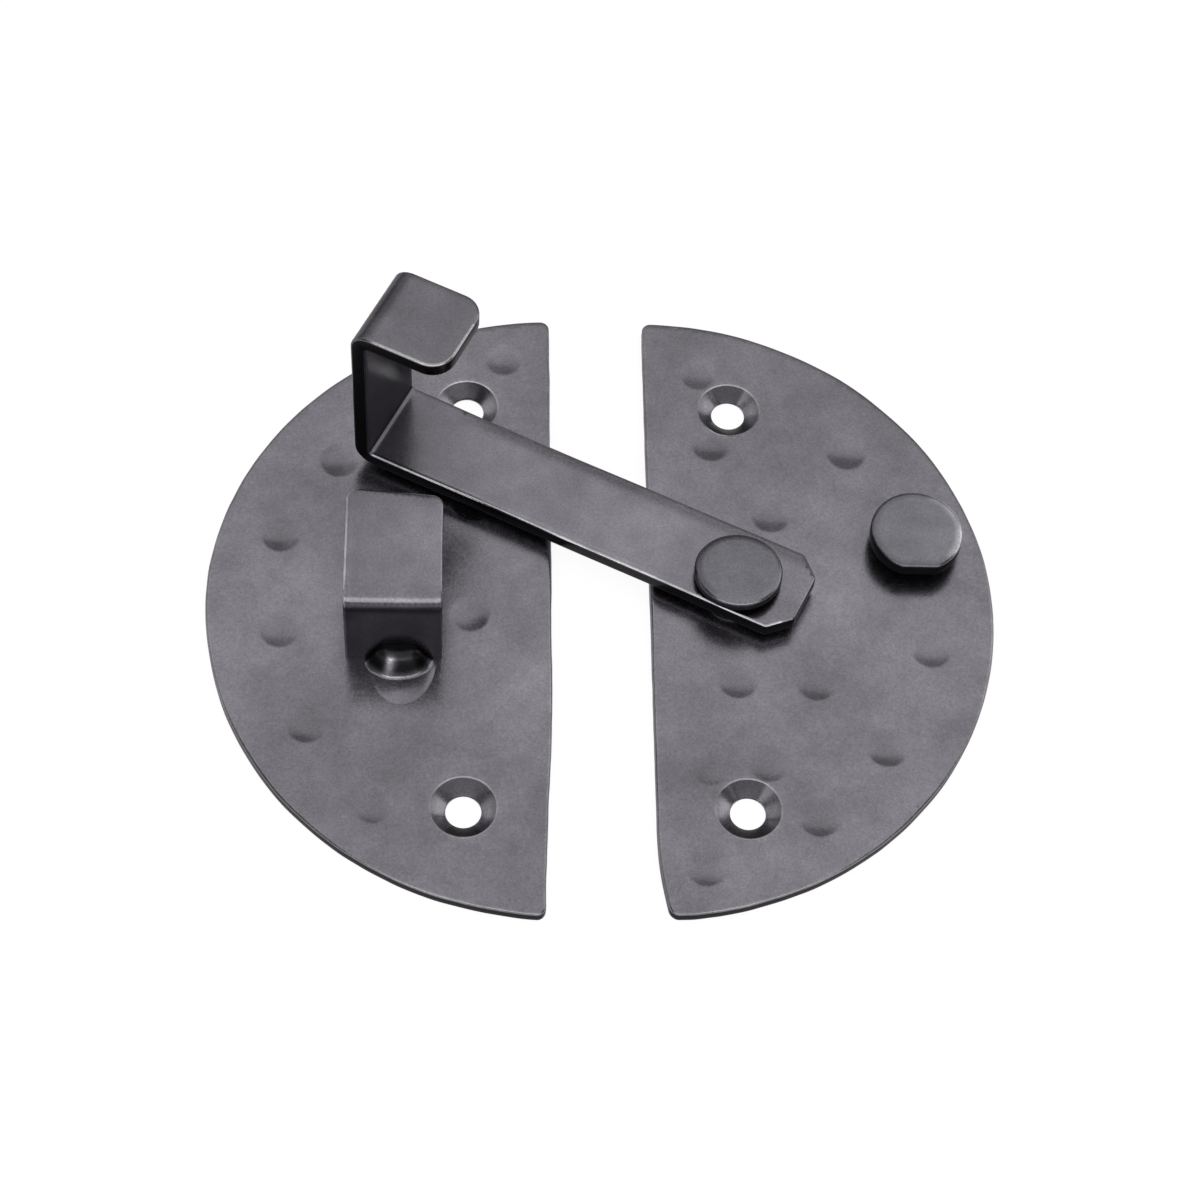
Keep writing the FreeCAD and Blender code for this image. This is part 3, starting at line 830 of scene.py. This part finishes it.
def latch_arm():
    """The swinging bar: straight from the clipped tail, up the handle's leg and back over.

    The bar's front face turns inwards at the leg, so that its back face is the handle's top."""
    leg = ARM_HIGH.z - ARM_LOW.z - 2 * (STRIP + BEND_INSIDE)
    bend = BEND_MIDDLE * math.pi / 2
    flat = CREASE - BEND_INSIDE
    top = HANDLE_REACH - BEND_INSIDE
    path = bent_path(complex(-ARM_TAIL, STRIP / 2), 0,
                     [(flat, 0), (bend, math.pi / 2), (leg, 0), (bend, math.pi / 2),
                      (top + PAST_END, 0)])
    end = flat + bend + leg + bend + top
    over = CREASE + leg + 2 * bend
    edge_pitch = BAR_PITCHES[0]
    outline = rounded([
        (complex(0, -ARM_BACK_AT_TAIL + TAIL_CLIP), TAIL_CORNER),
        (complex(TAIL_CLIP, -ARM_BACK_AT_TAIL), TAIL_SHOULDER),
        (complex(end, -ARM_BACK_AT_HANDLE), HANDLE_CORNER),
        (complex(end, ARM_FRONT_AT_HANDLE), HANDLE_FRONT_CORNER),
        (complex(TAIL_CLIP, ARM_FRONT_AT_TAIL), TAIL_SHOULDER),
        (complex(0, ARM_FRONT_AT_TAIL - TAIL_CLIP), TAIL_CORNER)], True, edge_pitch, 9)
    outline = hand_cut(outline, [(0.12, 11.0)], 9.0)
    hole = bore(complex(ARM_TAIL, 0), ARM_BORE, edge_pitch)
    edge = filed_edge(STRIP, ARM_ARRIS, BAR_BACK_ARRIS, rubbed_back=RUBBED)
    sheet = cut_sheet([(outline, edge), (hole, filed_edge(STRIP, 0.15, 0.15, 2))], BAR_PITCHES)

    def wear_and_highlight(point):
        """The arris round the handle's top and the arm's front one are rubbed, with a painted
        highlight along them; elsewhere rubbing is faint.
        """
        if point.real > over and point.imag > -3:
            return 1.2
        return 1.0 if point.imag > 3 and point.real < CREASE - 0.5 else 0.1

    def painted_shade(point):
        """Painted shade on the leg."""
        return 0.38 * smooth((point.real - CREASE) / 1.5) * smooth((over - point.real) / 1.5)

    sheet.scale_bright(wear_and_highlight)
    points = []
    for point, depth in zip(sheet.points, sheet.depths):
        share = 1 - depth / STRIP
        # the arm is hammered thinner towards its back edge, short of the handle
        fall = smooth((-point.imag - 3.2) / 3.6) ** 2 * smooth((CREASE - 4 - point.real) / 8)
        relief = planished(point, 6.0) - 0.22 * fall
        place = on_path(path, point.real, depth - relief * share)
        ground = PIVOT_CENTRE + complex(place.real, point.imag) * unit(ARM_ANGLE)
        points.append((ground.real, ground.imag, ARM_LOW.z + place.imag))
    # Lighter along the arm; painted shade at the crease under the handle and over the handle's top
    patches = [(complex(ARM_TAIL + 15, 1), 9, 0.16), (complex(ARM_TAIL + 30, 1), 8, 0.08),
               (complex(ARM_TAIL + 43, -1), 6.5, -0.30), (complex(end - 3, -1), 8, -0.16),
               (complex(end - 9, -1), 2.5, -0.16)]
    tones = handling_and_painted_light(sheet.points, patches)
    tone_and_painted_light = [tone - painted_shade(point) for tone, point in zip(tones, sheet.points)]
    make_piece("arm_bar", points, sheet.faces, "latch_arm", "arm",
               BAR_IRON, sheet.wear_and_painted_light, tone_and_painted_light, flat_layout(sheet))


keeper_catch()
latch_arm()


# Turned pieces

def nought(bearing, radius, height):
    """Stands for a function of a turned piece that isn't given."""
    return 0.0


def turned(name, profile, closed, centre, node, drawn_in=nought, lifted=nought, painted_light=nought):
    """Piece of revolution from a profile of radius + height i, run upwards on the outside.

    At a bearing, radius and height, drawn_in gives how far the outline is set back, lifted how
    far it is raised, and painted_light its painted light and shade."""
    segments = 96
    points = []
    faces = []
    wear_and_painted_light = []
    rings = []
    for spot in profile:
        if spot.real < 1e-6:
            height = spot.imag + lifted(0.0, 0.0, spot.imag)
            points.append((centre.real, centre.imag, height))
            wear_and_painted_light.append(0.0)
            rings.append([len(points) - 1] * segments)
            continue
        ring = []
        for step in range(segments):
            bearing = 2 * math.pi * step / segments
            radius = spot.real - drawn_in(bearing, spot.real, spot.imag)
            place = centre + radius * unit(bearing)
            height = spot.imag + lifted(bearing, radius, spot.imag)
            points.append((place.real, place.imag, height))
            wear_and_painted_light.append(painted_light(bearing, spot.real, spot.imag))
            ring.append(len(points) - 1)
        rings.append(ring)
    following = rings[1:] + rings[:1] if closed else rings[1:]
    for lower, upper in zip(rings, following):
        for step in range(segments):
            after = (step + 1) % segments
            face = [lower[step], lower[after], upper[after], upper[step]]
            faces.append(list(dict.fromkeys(face)))
    make_piece(name, points, faces, node, "plates", RIVET_IRON, wear_and_painted_light)


def turned_profile(corners):
    """Profile from the axis at the back, through rounded corners, to the axis at the front."""
    line = [spot for spot, normal in rounded(corners, False, 0.6, 6)]
    start, end = corners[0][0], corners[-1][0]
    crown = [spot for spot, normal in straight(line[-1], end, 0.6)]
    return [start] + line + crown + [end]


def uneven(amount, seed):
    """Slightly out-of-round outline of a hand-made head."""
    def drawn_in(bearing, radius, height):
        rough = ripple(math.cos(bearing), math.sin(bearing), seed)
        return amount * rough * smooth((radius - SHANK) / 2)
    return drawn_in


def peened_tail(shank):
    """Corners of a rivet's tail, spread into the countersink in the plate's back."""
    spread = shank + PEEN - PEEN_RECESS / 2
    return [(1j * PEEN_RECESS, 0), (spread + 1j * PEEN_RECESS, 0.1), (shank + 1j * PEEN, 0.2)]


def pivot_rivet():
    """Rivet whose head is set askew: down on the arm at the back and clear of it in front."""
    head = (RIVET_HIGH.x - RIVET_LOW.x) / 2
    top = RIVET_HIGH.z
    under = top - HEAD_GAP

    def lifted(bearing, radius, height):
        """The head's tilt, with its underside no lower than its seat."""
        if height < under - 0.2:
            return 0.0
        fall = HEAD_LIFT - HEAD_TILT * radius * math.sin(bearing)
        seat = max(0.0, top - HEAD_THICKNESS - under + fall)
        share = max(0.0, (height - under) / (top - under))
        return seat + (fall - seat) * share

    def painted_light(bearing, radius, height):
        """Painted shade on the head's side and on its upper left rim."""
        if radius < head - 0.6 or height < under:
            return 0.0
        side = (top - height) / (top - under)
        shaded_rim = 0.45 * smooth(0.5 + 1.2 * math.cos(bearing - 2.4))
        return -shaded_rim * bump(side, 0.2) - 0.9 * smooth((side - 0.15) / 0.3)

    profile = turned_profile(peened_tail(SHANK) + [
        (SHANK + 1j * under, 0.1), (head + 1j * under, 0.3),
        (head + 1j * top, 0.55), (1j * top, 0)])
    turned("rivet_turned", profile, False, PIVOT_CENTRE, "pivot_rivet",
           uneven(0.12, 1.0), lifted, painted_light)


def pull_knob():
    """Knob with a short flat worn on its lower side, riveted like the pivot."""
    top = KNOB_HIGH.z
    under = top - KNOB_THICKNESS
    rim = KNOB_RADIUS
    bumps = uneven(0.10, 4.0)

    def drawn_in(bearing, radius, height):
        """The flat, and an outline that is slightly out of round."""
        chord = (rim - KNOB_FLAT) / max(-math.sin(bearing), 1e-6)
        short = max(0.0, rim - chord)
        return short * smooth((radius - KNOB_STEM) / 1.5) + bumps(bearing, radius, height)

    def painted_light(bearing, radius, height):
        """Painted shade on the knob's side and round its rim, and a painted highlight on the right
        of the rim.
        """
        if radius < rim - 0.6 or height < under:
            return 0.0
        side = (top - height) / (top - under)
        lit_rim = 1.3 * smooth((math.cos(bearing - 0.15) - 0.35) / 0.4) - 0.4
        return lit_rim * bump(side - 0.05, 0.07) - smooth((side - 0.08) / 0.12)

    profile = turned_profile(peened_tail(KNOB_STEM) + [
        (KNOB_STEM + 1j * under, 0.3), (rim + 1j * under, 0.35),
        (rim + 1j * top, 0.45), (1j * top, 0)])
    turned("knob_turned", profile, False, KNOB_CENTRE, "pull_knob", drawn_in, painted_light=painted_light)


def pivot_spacer():
    """Washer between the plate and the arm."""
    outer = (SPACER_HIGH.x - SPACER_LOW.x) / 2
    low, high = 1j * SPACER_LOW.z, 1j * SPACER_HIGH.z
    section = rounded([(ARM_BORE + low, 0.15), (outer + low, 0.2),
                       (outer + high, 0.2), (ARM_BORE + high, 0.15)], True, 1.0, 4)
    turned("spacer_ring", [spot for spot, normal in section], True, PIVOT_CENTRE,
           "pivot_spacer")


pivot_rivet()
pull_knob()
pivot_spacer()


# Weld

def weld_outline(half, reach):
    """Half of an ellipse with its straight side on the wall, and a ragged edge."""
    spokes = [unit(-math.pi * step / 60) for step in range(61)]
    outline = [(complex(half * way.real, reach * way.imag),
                complex(way.real / half, way.imag / reach)) for way in reversed(spokes)]
    outline = [(point, normal / abs(normal)) for point, normal in outline]
    outline += straight(outline[-1][0], outline[0][0], WELD_PITCHES[0])
    return hand_cut(outline, [(0.30, 3.0)], 11.0)


def catch_weld():
    """Steep bead up the foot of the wall, with a flat pool that melted into the plate.

    Its edge and its back go a little way into the plate and the wall."""
    wall = WELD_HIGH.y
    middle = (WELD_HIGH.x + WELD_LOW.x) / 2
    base = WELD_LOW.z
    rise = WELD_RISE_SHARE * (WELD_HIGH.z - base)
    half = WELD_SHARE * (WELD_HIGH.x - WELD_LOW.x) / 2
    reach = WELD_SHARE * (WELD_HIGH.y - WELD_LOW.y)
    sheet = cut_sheet([(weld_outline(half, reach), filed_edge(WELD_SKIRT, 0.01, 0.01, 2))],
                      WELD_PITCHES)

    def bead(point):
        """Height of the round bead, below nought away from it."""
        across = point.real - BEAD_MIDDLE
        out = max(0.0, -point.imag)
        lumps = noise.noise(Vector((across / 1.6, out / 1.6, 3.0)))
        away = math.hypot(across / BEAD_HALF, out / BEAD_REACH) * (1 + 0.03 * lumps)
        return rise * (1 - away ** 4)

    def pool(point):
        """Height of the pool, with a low lip at its front right."""
        spread = (point.real / half) ** 2 + (point.imag / reach) ** 2
        lip = POOL_LIP * bump(math.sqrt(spread) - 0.62, 0.22)
        lip *= smooth((point.real - point.imag - 1.0) / 3)
        height = POOL_HEIGHT * max(0.0, 1 - spread) ** 1.3 + lip
        return height * smooth((1 - spread) / 0.35) - 0.02

    points = []
    wear_and_painted_light = []
    for point, depth in zip(sheet.points, sheet.depths):
        share = 1 - depth / WELD_SKIRT
        ground = complex(middle + point.real, wall + point.imag)
        sheet_relief = waviness(KEEPER_HIGH.x - ground, KEEPER_SEED)
        step = bead(point) - pool(point)
        toe = 0.12 + 0.8 * smooth(1 - abs(step) / 2.4)
        lift = eased_max(bead(point), pool(point), toe)
        lift = sheet_relief + min(rise - sheet_relief, lift)
        inward = WELD_BEHIND * smooth(1 + point.imag / 0.4)
        height = base + lift * share - WELD_SKIRT * (1 - share)
        points.append((ground.real, ground.imag + inward, height))
        # A painted glint on the bead's left shoulder; the bead is darkened, partly as weld scale
        # and partly as painted shade.
        glint = 2.2 * bump(abs(point - WELD_GLINT), 0.5)
        wear_and_painted_light.append(glint - 0.95 * smooth(0.4 + step / 1.2))
    # Painted light on the pool's lip, and a painted shadow below it at the lower right
    patches = [(complex(3.2, -1.6), 1.1, 0.16), (complex(-0.5, -3.4), 1.3, 0.10),
               (complex(2.4, -4.6), 0.8, -0.16)]
    make_piece("weld_bead", points, sheet.faces, "catch_weld", "plates",
               WELD_IRON, wear_and_painted_light, handling_and_painted_light(sheet.points, patches))


catch_weld()


# Floor, lights and camera

FLOOR_HALF = 3.0
FLOOR_BELOW = 0.1 * MM
FLOOR_GLOW = 1.08
FLOOR_GLOW_SHARE = 0.85


def pale_floor():
    """Pale floor that looks white and keeps the object's soft shadow."""
    corners = [(across * FLOOR_HALF, along * FLOOR_HALF, 0)
               for across, along in ((-1, -1), (1, -1), (1, 1), (-1, 1))]
    mesh = bpy.data.meshes.new("floor")
    mesh.from_pydata(corners, [], [(0, 1, 2, 3)])
    floor = bpy.data.objects.new("floor", mesh)
    bpy.context.scene.collection.objects.link(floor)
    floor.location.z = -FLOOR_BELOW
    material = bpy.data.materials.new("floor_paper")
    tree = nodes_of(material)
    paper = add_node(tree, "ShaderNodeBsdfDiffuse", {"Color": (0.8, 0.8, 0.8, 1)})
    glow = add_node(tree, "ShaderNodeEmission", {"Color": (1, 1, 1, 1),
                                                 "Strength": FLOOR_GLOW})
    path = add_node(tree, "ShaderNodeLightPath")
    seen = plus(tree, path.outputs["Is Camera Ray"], path.outputs["Is Transmission Ray"])
    seen = plus(tree, seen, path.outputs["Is Glossy Ray"])
    mix = add_node(tree, "ShaderNodeMixShader", {0: times(tree, seen, FLOOR_GLOW_SHARE),
                                                 1: paper.outputs[0], 2: glow.outputs[0]})
    add_node(tree, "ShaderNodeOutputMaterial", {"Surface": mix.outputs[0]})
    mesh.materials.append(material)


# Lamps: name, direction, width, height and radiance. A low, bright strip lights the front edges.

LAMP_DISTANCE = 0.6
LAMPS = [
    ("back_wall", (0.0, 0.924, 0.383), 1.2, 0.47, 0.2),
    ("back_box", (0.0, 0.462, 0.887), 1.2, 0.378, 0.90),
    ("overhead", (0.0, -0.391, 0.921), 1.2, 0.779, 0.82),
    ("front_strip", (0.0, -0.927, 0.375), 1.2, 0.255, 2.1),
    ("left_panel", (-0.852, 0.397, 0.342), 0.437, 0.39, 0.5),
    ("right_panel", (0.883, 0.321, 0.342), 0.437, 0.39, 1.1),
    ("back_left", (-0.40, 0.74, 0.545), 0.27, 0.25, 0.25),
]
ROOM_RADIANCE = 0.18


def softbox(name, toward, width, height, radiance):
    """Rectangular lamp that faces the object and looks equally bright from anywhere."""
    lamp = bpy.data.lights.new(name, "AREA")
    lamp.shape = "RECTANGLE"
    lamp.size = width
    lamp.size_y = height
    lamp.energy = radiance * math.pi * width * height
    holder = bpy.data.objects.new(name, lamp)
    way = Vector(toward).normalized()
    holder.location = way * LAMP_DISTANCE
    holder.rotation_mode = "QUATERNION"
    holder.rotation_quaternion = way.to_track_quat("Z", "Y")
    holder.visible_camera = False
    bpy.context.scene.collection.objects.link(holder)


def studio():
    """Soft lamps all round in an evenly dim room."""
    for lamp in LAMPS:
        softbox(*lamp)
    world = bpy.data.worlds.new("studio_room")
    bpy.context.scene.world = world
    world.use_nodes = True
    tree = world.node_tree
    tree.nodes.clear()
    room = add_node(tree, "ShaderNodeBackground", {"Color": (1, 1, 1, 1),
                                                   "Strength": ROOM_RADIANCE})
    add_node(tree, "ShaderNodeOutputWorld", {"Surface": room.outputs[0]})


# The photograph's camera: angles in radians, place and lens in millimetres

ELEVATION = math.radians(58.2)
AZIMUTH = math.radians(-5.54)
ROLL = math.radians(5.32)
CAMERA_PLACE = Vector((-16.46, -167.31, 272.45))
CAMERA_LENS = 83.285
SENSOR_WIDTH = 36


def photo_camera():
    """Camera at the photograph's angle, a little left of the front and tipped by its roll."""
    back = Vector((math.sin(AZIMUTH) * math.cos(ELEVATION),
                   -math.cos(AZIMUTH) * math.cos(ELEVATION), math.sin(ELEVATION)))
    level = Vector((math.cos(AZIMUTH), math.sin(AZIMUTH), 0))
    upright = back.cross(level)
    right = math.cos(ROLL) * level + math.sin(ROLL) * upright
    up = back.cross(right)
    lens = bpy.data.cameras.new("photo_camera")
    lens.lens = CAMERA_LENS
    lens.sensor_width = SENSOR_WIDTH
    lens.clip_start = 0.01
    lens.clip_end = 20
    camera = bpy.data.objects.new("photo_camera", lens)
    turn = Matrix((right, up, back)).transposed().to_4x4()
    camera.matrix_world = Matrix.Translation(CAMERA_PLACE * MM) @ turn
    bpy.context.scene.collection.objects.link(camera)
    bpy.context.scene.camera = camera


pale_floor()
studio()
photo_camera()
bpy.context.scene.view_settings.view_transform = "Standard"
